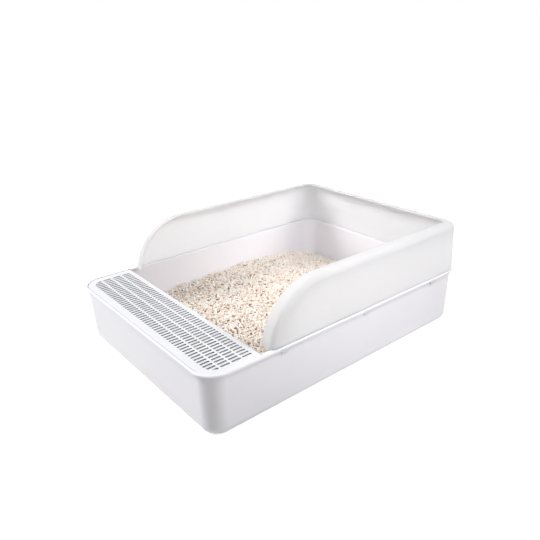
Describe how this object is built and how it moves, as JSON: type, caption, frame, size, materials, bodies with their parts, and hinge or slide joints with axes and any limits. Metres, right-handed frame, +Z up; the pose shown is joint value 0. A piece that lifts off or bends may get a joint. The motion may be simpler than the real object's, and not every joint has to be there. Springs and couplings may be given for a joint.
{
  "type": "litter box",
  "caption": "Open cat litter tray with a frosted lift-off splash guard round its sides and back, a slotted lift-out entry step and a bed of litter granules.",
  "frame": {"origin": "on the floor under the middle of the tray's rim, which is the middle of the whole object in plan", "axes": "+Z up, the entrance with the slotted step faces -Y, the length runs along Y and the width along X"},
  "size_m": [0.413, 0.555, 0.1925],
  "materials": {
    "tray": "white polypropylene with a soft satin gloss",
    "splash_guard": "milky translucent polypropylene, frosted",
    "step_grate": "pale cool grey polypropylene, satin",
    "litter_bed": "loose pressed plant-fibre granules, cream and tan, matte"
  },
  "bodies": {
    "tray": {"tray": "tray", "litter_bed": "litter_bed"},
    "guard": {"splash_guard": "splash_guard"},
    "step": {"step_grate": "step_grate"}
  },
  "joints": [
    {"name": "guard_lift", "type": "slide", "parent": "tray", "child": "guard", "axis": [0, 0, 1], "range_m": [0, 0.12]},
    {"name": "step_lift", "type": "slide", "parent": "tray", "child": "step", "axis": [0, 0, 1], "range_m": [0, 0.12]}
  ]
}
